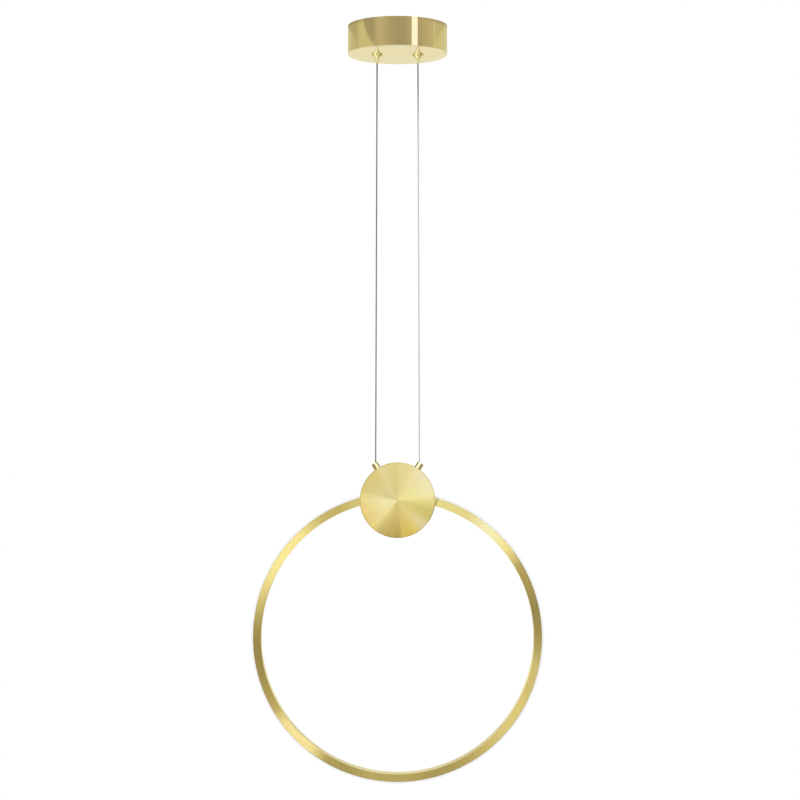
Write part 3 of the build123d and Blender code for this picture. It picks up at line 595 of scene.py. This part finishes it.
def scaled(tree, vector, factor):
    """A vector or colour times a number."""
    return add_node(tree, "VectorMath", {0: vector, "Scale": factor}, operation="SCALE").outputs["Vector"]


def flat_vector(tree, x, y):
    """A vector of two parts."""
    return add_node(tree, "CombineXYZ", {"X": x, "Y": y}).outputs["Vector"]


def object_place(tree):
    """The place of a point in the object's own frame."""
    return add_node(tree, "TexCoord").outputs["Object"]


def bump(tree, height, strength, distance):
    """A surface normal disturbed by a height."""
    inputs = {"Height": height, "Strength": strength, "Distance": distance}
    return add_node(tree, "Bump", inputs).outputs["Normal"]


def turned_place(tree, centre):
    """The radius from an axis along Y through a centre, the turn round it from 0 to 1, starting at -X
    and going by -Z, the depth along it, and the heading away from it."""
    inputs = {"Vector": object_place(tree), "Location": [-c for c in centre]}
    moved = add_node(tree, "Mapping", inputs).outputs["Vector"]
    parts = add_node(tree, "SeparateXYZ", {"Vector": moved})
    flat = flat_vector(tree, parts.outputs["X"], parts.outputs["Z"])
    turn = add_node(tree, "TexGradient", {"Vector": flat}, gradient_type="RADIAL").outputs["Fac"]
    heading = add_node(tree, "VectorMath", {0: flat}, operation="NORMALIZE").outputs["Vector"]
    return length_of(tree, flat), turn, parts.outputs["Y"], heading


def drawn_round(tree, shader, anisotropy):
    """Metal whose highlights stretch across lines that run round the Y axis."""
    tangent = add_node(tree, "Tangent", direction_type="RADIAL", axis="Y").outputs["Tangent"]
    link(tree, tangent, shader, "Tangent")
    set_shader(shader, Metallic=1.0, Anisotropic=anisotropy, Anisotropic_Rotation=0.25)


def polished_gold():
    """Bright plating under clear lacquer: nearly a mirror, with faint cloudiness."""
    made, tree, shader = new_finish("polished_gold")
    place = object_place(tree)
    link(tree, tint(tree, grain(tree, place, LACQUER_CLOUDS), *LACQUER_TONES), shader, "Base Color")
    link(tree, span(tree, grain(tree, place, LACQUER_HAZE), *LACQUER_ROUGHNESS), shader, "Roughness")
    set_shader(shader, Metallic=1.0)
    return made


def spun_gold():
    """Lathe-spun plating: fine circles round the hub's axis, a painted sunburst of paler and deeper reflected
    rays that take on painted iridescent tints towards the rim, and a satin chamfer round the front."""
    made, tree, shader = new_finish("spun_gold")
    radius, turn, depth, heading = turned_place(tree, HUB_CENTRE)
    # Painted reflections: the sunburst's paler and deeper rays, with painted iridescent tints towards the rim
    outwards = share_of_way(tree, radius, *TINT_REACH)
    tinted = mixed_colour(tree, outwards, NO_TINT, ramp_colour(tree, turn, RIM_REFLECTION_TINTS))
    plating = times(tree, ramp_colour(tree, turn, SUNBURST_REFLECTIONS), tinted)
    lines = grain(tree, flat_vector(tree, radius, depth), SPUN_LINES, detail=2.0)
    streaks = grain(tree, heading, SPUN_STREAKS, detail=4.0, roughness=0.6)
    line_shade, streak_shade = span(tree, lines, *SPUN_LINE_SHADES), span(tree, streaks, *SPUN_STREAK_SHADES)
    shade = maths(tree, "MULTIPLY", line_shade, streak_shade)
    link(tree, scaled(tree, plating, shade), shader, "Base Color")
    beyond = share_of_way(tree, radius, *CHAMFER_START)
    forward = share_of_way(tree, depth, *CHAMFER_DEPTH)
    chamfer = maths(tree, "MULTIPLY", beyond, forward)
    rough = maths(tree, "MULTIPLY_ADD", chamfer, CHAMFER_ROUGHNESS, span(tree, lines, *SPUN_ROUGHNESS))
    link(tree, rough, shader, "Roughness")
    drawn_round(tree, shader, SPUN_ANISOTROPY)
    return made


def brushed_gold():
    """Plating brushed along the ring, in streaks that follow its turn, with painted reflections as paler and
    deeper stretches, a narrow darker line beside the hub and a plain inner face."""
    made, tree, shader = new_finish("brushed_gold")
    radius, turn, depth, heading = turned_place(tree, RING_CENTRE)
    drawn = scaled(tree, heading, BRUSH_DRAW)
    lines = add_node(tree, "VectorMath", {0: flat_vector(tree, radius, depth), 1: drawn}).outputs["Vector"]
    streaks = grain(tree, lines, BRUSH_LINES, detail=2.0)
    # Narrow darker line on the ring beside the hub, by turn
    aside = maths(tree, "ABSOLUTE", maths(tree, "SUBTRACT", turn, HUB_LINE_TURN))
    clear = share_of_way(tree, aside, *HUB_LINE_HALF)
    # Painted reflections: paler and deeper stretches by turn
    face = mixed_colour(tree, clear, HUB_LINE_BROWN, ramp_colour(tree, turn, BRUSHED_REFLECTIONS))
    plating = mixed_colour(tree, share_of_way(tree, radius, *FACE_START), INNER_GOLD, face)
    link(tree, scaled(tree, plating, span(tree, streaks, *BRUSH_SHADES)), shader, "Base Color")
    link(tree, span(tree, streaks, *BRUSH_ROUGHNESS), shader, "Roughness")
    drawn_round(tree, shader, BRUSH_ANISOTROPY)
    return made


def opal():
    """Satin white acrylic, with a faint painted glow that brightens it."""
    made, tree, shader = new_finish("opal")
    place = object_place(tree)
    link(tree, tint(tree, grain(tree, place, OPAL_CLOUDS), *OPAL_TONES), shader, "Base Color")
    link(tree, span(tree, grain(tree, place, OPAL_HAZE), *OPAL_ROUGHNESS), shader, "Roughness")
    # A faint painted glow that brightens the opal
    set_shader(shader, Emission_Color=OPAL_PAINTED_GLOW, Emission_Strength=OPAL_PAINTED_GLOW_STRENGTH)
    return made


def sheathed_wire(name, shaded_groove, lit_crown):
    """Steel strands seen through a sheath: painted shade across each strand by the cosine of its turn, darker
    grooves and lighter crowns, and darker over a stretch at the top."""
    made, tree, shader = new_finish(name)
    spot = add_node(tree, "UVMap", uv_map="turn_and_reach").outputs["UV"]
    parts = add_node(tree, "SeparateXYZ", {"Vector": spot})
    wave = maths(tree, "COSINE", maths(tree, "MULTIPLY", parts.outputs["X"], 2 * math.pi * STRANDS))
    # Painted shade between the strands: darker grooves and lighter crowns
    strands = tint(tree, share_of_way(tree, wave, -1.0, 1.0), shaded_groove, lit_crown)
    # Darker towards the top of the wire
    start, end = DARK_TOP_REACH
    inputs = {"Value": parts.outputs["Y"], "From Min": start, "From Max": end, "To Min": DARK_TOP_SHADE}
    darker_top = add_node(tree, "MapRange", inputs, interpolation_type="SMOOTHSTEP").outputs["Result"]
    link(tree, scaled(tree, strands, darker_top), shader, "Base Color")
    haze = grain(tree, object_place(tree), SHEATH_HAZE)
    link(tree, span(tree, haze, *SHEATH_ROUGHNESS), shader, "Roughness")
    set_shader(shader, Metallic=0.8, Coat_Weight=0.6, Coat_Roughness=0.10)
    return made


def gripper_brass():
    """Satin brass, with a band of painted shade round the flange's rim, by the distance from the nearer axis.
    """
    made, tree, shader = new_finish("gripper_brass")
    place = object_place(tree)
    parts = add_node(tree, "SeparateXYZ", {"Vector": place})
    beside = maths(tree, "SUBTRACT", maths(tree, "ABSOLUTE", parts.outputs["X"]), GRIPPER_AXIS)
    radius = length_of(tree, flat_vector(tree, beside, parts.outputs["Y"]))
    brass = tint(tree, grain(tree, place, METAL_CLOUDS), *BRASS_TONES)
    # A band of painted shade round the flange's rim
    inside = share_of_way(tree, radius, *FLANGE_SHADE_BAND)
    link(tree, mixed_colour(tree, inside, FLANGE_SHADE_TONE, brass), shader, "Base Color")
    link(tree, span(tree, grain(tree, place, METAL_HAZE), *BRASS_ROUGHNESS), shader, "Roughness")
    set_shader(shader, Metallic=1.0)
    return made


def plain_metal(name, dark, light, rough):
    """Plated or turned metal with faint cloudiness."""
    made, tree, shader = new_finish(name)
    place = object_place(tree)
    link(tree, tint(tree, grain(tree, place, METAL_CLOUDS), dark, light), shader, "Base Color")
    low, high = (rough + spread for spread in METAL_SPREAD)
    link(tree, span(tree, grain(tree, place, METAL_HAZE), low, high), shader, "Roughness")
    set_shader(shader, Metallic=1.0)
    return made


def moulding(name, dark, light, rough, scale=MOULD_GRAIN, strength=MOULD_GRAIN_STRENGTH):
    """A moulded piece: nearly even colour with a fine spark-eroded grain."""
    made, tree, shader = new_finish(name)
    place = object_place(tree)
    clouds = grain(tree, place, scale * MOULD_CLOUDS_PER_GRAIN)
    link(tree, tint(tree, clouds, dark, light), shader, "Base Color")
    fine = grain(tree, place, scale)
    low, high = (rough + spread for spread in MOULD_SPREAD)
    link(tree, span(tree, fine, low, high), shader, "Roughness")
    link(tree, bump(tree, fine, strength, MOULD_GRAIN_DEPTH), shader, "Normal")
    return made


def studio_world():
    """White to the camera and in reflections, and a plain even light for the rest."""
    world = bpy.data.worlds.new("studio")
    bpy.context.scene.world = world
    world.use_nodes = True
    tree = world.node_tree
    tree.nodes.clear()
    path = add_node(tree, "LightPath")
    seen = path.outputs["Is Camera Ray"]
    for kind in ("Is Glossy Ray", "Is Transmission Ray"):
        seen = maths(tree, "MAXIMUM", seen, path.outputs[kind])
    light = add_node(tree, "Background", {"Color": WHITE, "Strength": WORLD_LEVEL})
    white = add_node(tree, "Background", {"Color": WHITE, "Strength": 1.0})
    inputs = {0: seen, 1: light.outputs["Background"], 2: white.outputs["Background"]}
    mixed = add_node(tree, "MixShader", inputs)
    add_node(tree, "OutputWorld", {"Surface": mixed.outputs["Shader"]})


def pale_floor():
    """A round pale floor that fades into the white backdrop towards its edge."""
    turn = np.linspace(0.0, 2 * np.pi, FLOOR_SIDES, endpoint=False)
    height = np.full(FLOOR_SIDES, -FLOOR_DROP)
    rim = np.stack([FLOOR_RADIUS * np.cos(turn), FLOOR_RADIUS * np.sin(turn), height], 1)
    mesh = bpy.data.meshes.new("pale_floor")
    mesh.from_pydata(rim, [], [list(range(FLOOR_SIDES))])
    floor = new_object("pale_floor", mesh)
    made, tree, shader = new_finish("pale_floor")
    radius = length_of(tree, times(tree, object_place(tree), (1, 1, 0)))
    fade = share_of_way(tree, radius, *FLOOR_FADE)
    set_shader(shader, Base_Color=FLOOR_TONE, Roughness=FLOOR_ROUGHNESS)
    white = add_node(tree, "Emission", {"Color": WHITE, "Strength": 1.0})
    inputs = {0: fade, 1: shader.outputs["BSDF"], 2: white.outputs["Emission"]}
    mixed = add_node(tree, "MixShader", inputs)
    tree.links.new(mixed.outputs["Shader"], tree.nodes["Material Output"].inputs["Surface"])
    mesh.materials.append(made)


def facing(place, aim):
    """A rotation that points a lamp's -Z from its place at its aim."""
    away = np.array(aim, float) - np.array(place, float)
    yaw = math.atan2(away[0], -away[1])
    pitch = math.acos(-away[2] / np.linalg.norm(away))
    return pitch, 0.0, yaw + math.pi


def soft_box(name, place, aim, width, height, radiance, colour):
    """A soft box of a set brightness: power = radiance * pi * area."""
    data = bpy.data.lights.new(name, "AREA")
    data.shape = "RECTANGLE"
    data.size = width
    data.size_y = height
    data.energy = radiance * math.pi * width * height
    data.color = colour
    lamp = new_object(name, data)
    lamp.location = place
    lamp.rotation_euler = facing(place, aim)


def ease(value, low, high):
    """A value's share of the way from low to high, held between 0 and 1."""
    return np.clip((value - low) / (high - low), 0.0, 1.0)


def between(value, start, full, fall, end):
    """How far a value is inside a stretch that rises from start to full and falls from fall to end."""
    return ease(value, start, full) * (1 - ease(value, fall, end))


def at_stops(stops, place):
    """The value at a place between stops, each a place and a value."""
    return np.interp(place, *zip(*stops))


def wall_tones(turn, height):
    """Tone at each turn and height: a level times a tint, then layers that each cover a share of it.

    The level goes from the left part to the front and to the far ends over bowed edges, less the line, the
    brow and the shelf across them. The layers are the open white, the cream back, the low zone with its
    wedges of light, the dark sides low down, the path that the hub's fittings mirror, the dark sides high up,
    the strip of light before the grippers and the white patch before the hub."""
    side = np.abs(turn)
    front = ease(turn - at_stops(FRONT_EDGE, height), *FRONT_FADE)
    far_left = 1 - ease(turn - at_stops(LEFT_EDGE, height), *LEFT_FADE)
    far_right = ease(turn - at_stops(RIGHT_EDGE, height), *RIGHT_FADE)
    before = front * (1 - ease(turn, *FRONT_STOP))
    level = at_stops(LEFT_LEVELS, turn)
    for share, stops in ((far_left, FAR_LEFT_LEVELS), (front, FRONT_LEVELS), (far_right, FAR_RIGHT_LEVELS)):
        level = level + share * (at_stops(stops, turn) - level)
    shelf = between(height, *SHELF_HEIGHTS)
    level = level * (1 - LINE_DIM * between(height, *LINE_HEIGHTS) * between(turn, *LINE_TURNS))
    level = level * (1 - BROW_DIM * between(height, *BROW_HEIGHTS) * ease(side, *BROW_SIDES))
    level = level * (1 - SHELF_DIM * shelf * ease(side, *SHELF_SIDES))
    tone = level[..., None] * (SIDE_TINT + before[..., None] * (FRONT_TINT - SIDE_TINT))
    stands = before * (1 - ease(height, *FRONT_TOP)) + (1 - before) * ease(height, *SIDE_FOOT)
    bearing = np.degrees(np.arctan2(WALL_RADIUS * np.radians(turn), height - LOW_CENTRE)) % 360
    low_tone = at_stops(LOW_LEVELS, bearing)[..., None] * LOW_TINT
    off_path = np.abs(height - FITTING_PATH[0] - FITTING_PATH[1] * np.sin(np.radians(side)))
    start, stop = at_stops(HIGH_START, side), at_stops(HIGH_STOP, side)
    high = between(height, start, start + HIGH_FADES[0], stop, stop + HIGH_FADES[1])
    layers = (
        (1 - stands, OPEN_TONE),
        (ease(side, *BACK_SIDES) * (1 - ease(height, *BACK_TOP)), BACK_TONE),
        (before * (1 - ease(height, *LOW_TOP)), low_tone),
        (between(side, *LOW_SIDES) * (1 - ease(height, *LOW_SIDES_TOP)), DARK_TONE),
        (between(side, *FITTING_SIDES) * (1 - ease(off_path, *FITTING_WIDTH)), FITTING_TONE),
        (between(side, *HIGH_SIDES) * high, DARK_TONE),
        (shelf * (1 - ease(side, *STRIP_SIDES)), STRIP_TONE),
        (between(height, *PATCH_HEIGHTS) * (1 - ease(side, *PATCH_SIDES)), PATCH_TONE),
    )
    for share, other in layers:
        tone = tone + share[..., None] * (other - tone)
    return tone


def mirrored_wall():
    """A wall round the object that shows only in reflections. Point (a, z) lies at (radius * sin a,
    -radius * cos a, z), with a measured from the camera's side, to the right, and carries its tone."""
    turns = np.arange(-180.0, 180.0 + WALL_TURN_STEP, WALL_TURN_STEP)
    heights = np.concatenate([np.arange(*rows) for rows in WALL_ROWS])
    height, turn = np.meshgrid(heights, turns, indexing="ij")
    a = np.radians(turn)
    points = np.stack([WALL_RADIUS * np.sin(a), -WALL_RADIUS * np.cos(a), height], -1)
    rows, columns = turn.shape
    i, k = np.meshgrid(np.arange(rows - 1), np.arange(columns - 1), indexing="ij")
    corner = i * columns + k
    faces = np.stack([corner, corner + columns, corner + columns + 1, corner + 1], -1)
    mesh = bpy.data.meshes.new("mirrored_wall")
    mesh.from_pydata(points.reshape(-1, 3), [], faces.reshape(-1, 4).tolist())
    tones = np.insert(wall_tones(turn, height), 3, 1.0, axis=-1)
    layer = mesh.color_attributes.new("tone", "FLOAT_COLOR", "POINT")
    layer.data.foreach_set("color", tones.astype(np.float32).ravel())
    wall = new_object("mirrored_wall", mesh)
    made = bpy.data.materials.new("mirrored_wall")
    made.use_nodes = True
    made.cycles.emission_sampling = "NONE"
    tree = made.node_tree
    tree.nodes.clear()
    tone = add_node(tree, "Attribute", attribute_name="tone").outputs["Color"]
    light = add_node(tree, "Emission", {"Color": tone, "Strength": 1.0})
    add_node(tree, "OutputMaterial", {"Surface": light.outputs["Emission"]})
    mesh.materials.append(made)
    for ray in ("camera", "diffuse", "transmission", "volume_scatter", "shadow"):
        setattr(wall, f"visible_{ray}", False)


def round_the_axis(turn, distance, height):
    """A place at a turn from the camera's side, to the right, and a distance from the object's axis."""
    return distance * math.sin(math.radians(turn)), -distance * math.cos(math.radians(turn)), height


def studio_lights():
    """A tall soft box on each side of the camera, and the wall that the polished pieces mirror."""
    for name, turn, distance, width, low, high, radiance, colour in SOFT_BOXES:
        middle = (low + high) / 2
        place = round_the_axis(turn, distance, middle)
        soft_box(name, place, (0, 0, middle), width, high - low, radiance, colour)
    mirrored_wall()


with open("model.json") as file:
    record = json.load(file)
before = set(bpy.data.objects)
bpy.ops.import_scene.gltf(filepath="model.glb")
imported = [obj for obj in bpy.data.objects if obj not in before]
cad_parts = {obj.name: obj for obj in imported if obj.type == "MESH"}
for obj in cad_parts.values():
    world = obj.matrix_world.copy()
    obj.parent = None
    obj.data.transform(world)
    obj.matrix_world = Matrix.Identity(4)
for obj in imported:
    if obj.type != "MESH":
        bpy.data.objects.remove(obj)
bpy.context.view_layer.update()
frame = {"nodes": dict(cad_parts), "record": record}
photograph_camera()
wires = [suspension_wire("left", -1), suspension_wire("right", 1)]
springs = [gripper_spring("left"), gripper_spring("right")]

finishes = {
    "polished_gold": polished_gold(),
    "spun_gold": spun_gold(),
    "brushed_gold": brushed_gold(),
    "opal": opal(),
    "sheathed_wire": plain_metal("wire_tail", (0.40, 0.40, 0.41), (0.52, 0.52, 0.52), 0.35),
    "bright_steel": plain_metal("bright_steel", (0.55, 0.55, 0.56), (0.68, 0.68, 0.68), 0.28),
    "tinned_brass": plain_metal("tinned_brass", (0.62, 0.61, 0.57), (0.74, 0.73, 0.69), 0.3),
    "joint_alloy": plain_metal("joint_alloy", (0.50, 0.51, 0.52), (0.62, 0.63, 0.64), 0.4),
    "white_plastic": moulding("white_plastic", (0.78, 0.78, 0.76), (0.84, 0.84, 0.82), 0.45),
    "nylon": moulding("nylon", (0.70, 0.69, 0.64), (0.78, 0.77, 0.72), 0.5),
    "foam": moulding("foam", (0.10, 0.10, 0.10), (0.18, 0.18, 0.18), 0.9, scale=1200.0, strength=0.6),
    "brown_lead": moulding("brown_lead", (0.13, 0.055, 0.025), (0.17, 0.075, 0.035), 0.4),
    "blue_lead": moulding("blue_lead", (0.03, 0.12, 0.42), (0.05, 0.16, 0.50), 0.4),
    "green_lead": moulding("green_lead", (0.05, 0.30, 0.06), (0.08, 0.38, 0.09), 0.4),
    "red_lead": moulding("red_lead", (0.42, 0.03, 0.03), (0.52, 0.05, 0.045), 0.4),
    "black_lead": moulding("black_lead", (0.02, 0.02, 0.02), (0.035, 0.035, 0.035), 0.4),
    "circuit_board": moulding("circuit_board", (0.72, 0.73, 0.70), (0.80, 0.81, 0.78), 0.45),
    "phosphor": moulding("phosphor", (0.80, 0.62, 0.12), (0.86, 0.70, 0.18), 0.35),
}
turned_pieces = {
    "gripper_body": gripper_brass(),
    "plunger": plain_metal("plunger_brass", (0.83, 0.78, 0.47), (0.87, 0.82, 0.52), 0.26),
    "wire_fitting": plain_metal("fitting_brass", (0.93, 0.85, 0.48), (0.97, 0.90, 0.54), 0.09),
}
for subpart in frame["record"]["subparts"]:
    mesh = frame["nodes"][subpart["node"]].data
    mesh.materials.clear()
    mesh.materials.append(finishes[subpart["material_slot"]])
for name, finish in turned_pieces.items():
    for side in ("left", "right"):
        frame["nodes"][f"{side}_{name}"].data.materials[0] = finish
# The same sheathed wire finish, darker on the left and lighter on the right
wires[0].data.materials.append(sheathed_wire("darker_sheath_left", (0.13, 0.122, 0.11), (0.20, 0.188, 0.17)))
wires[1].data.materials.append(sheathed_wire("lighter_sheath_right", (0.50, 0.50, 0.505), (0.66, 0.66, 0.665)))
for piece in springs:
    piece.data.materials.append(finishes["bright_steel"])

studio_world()
pale_floor()
studio_lights()
bpy.context.scene.view_settings.view_transform = "Standard"
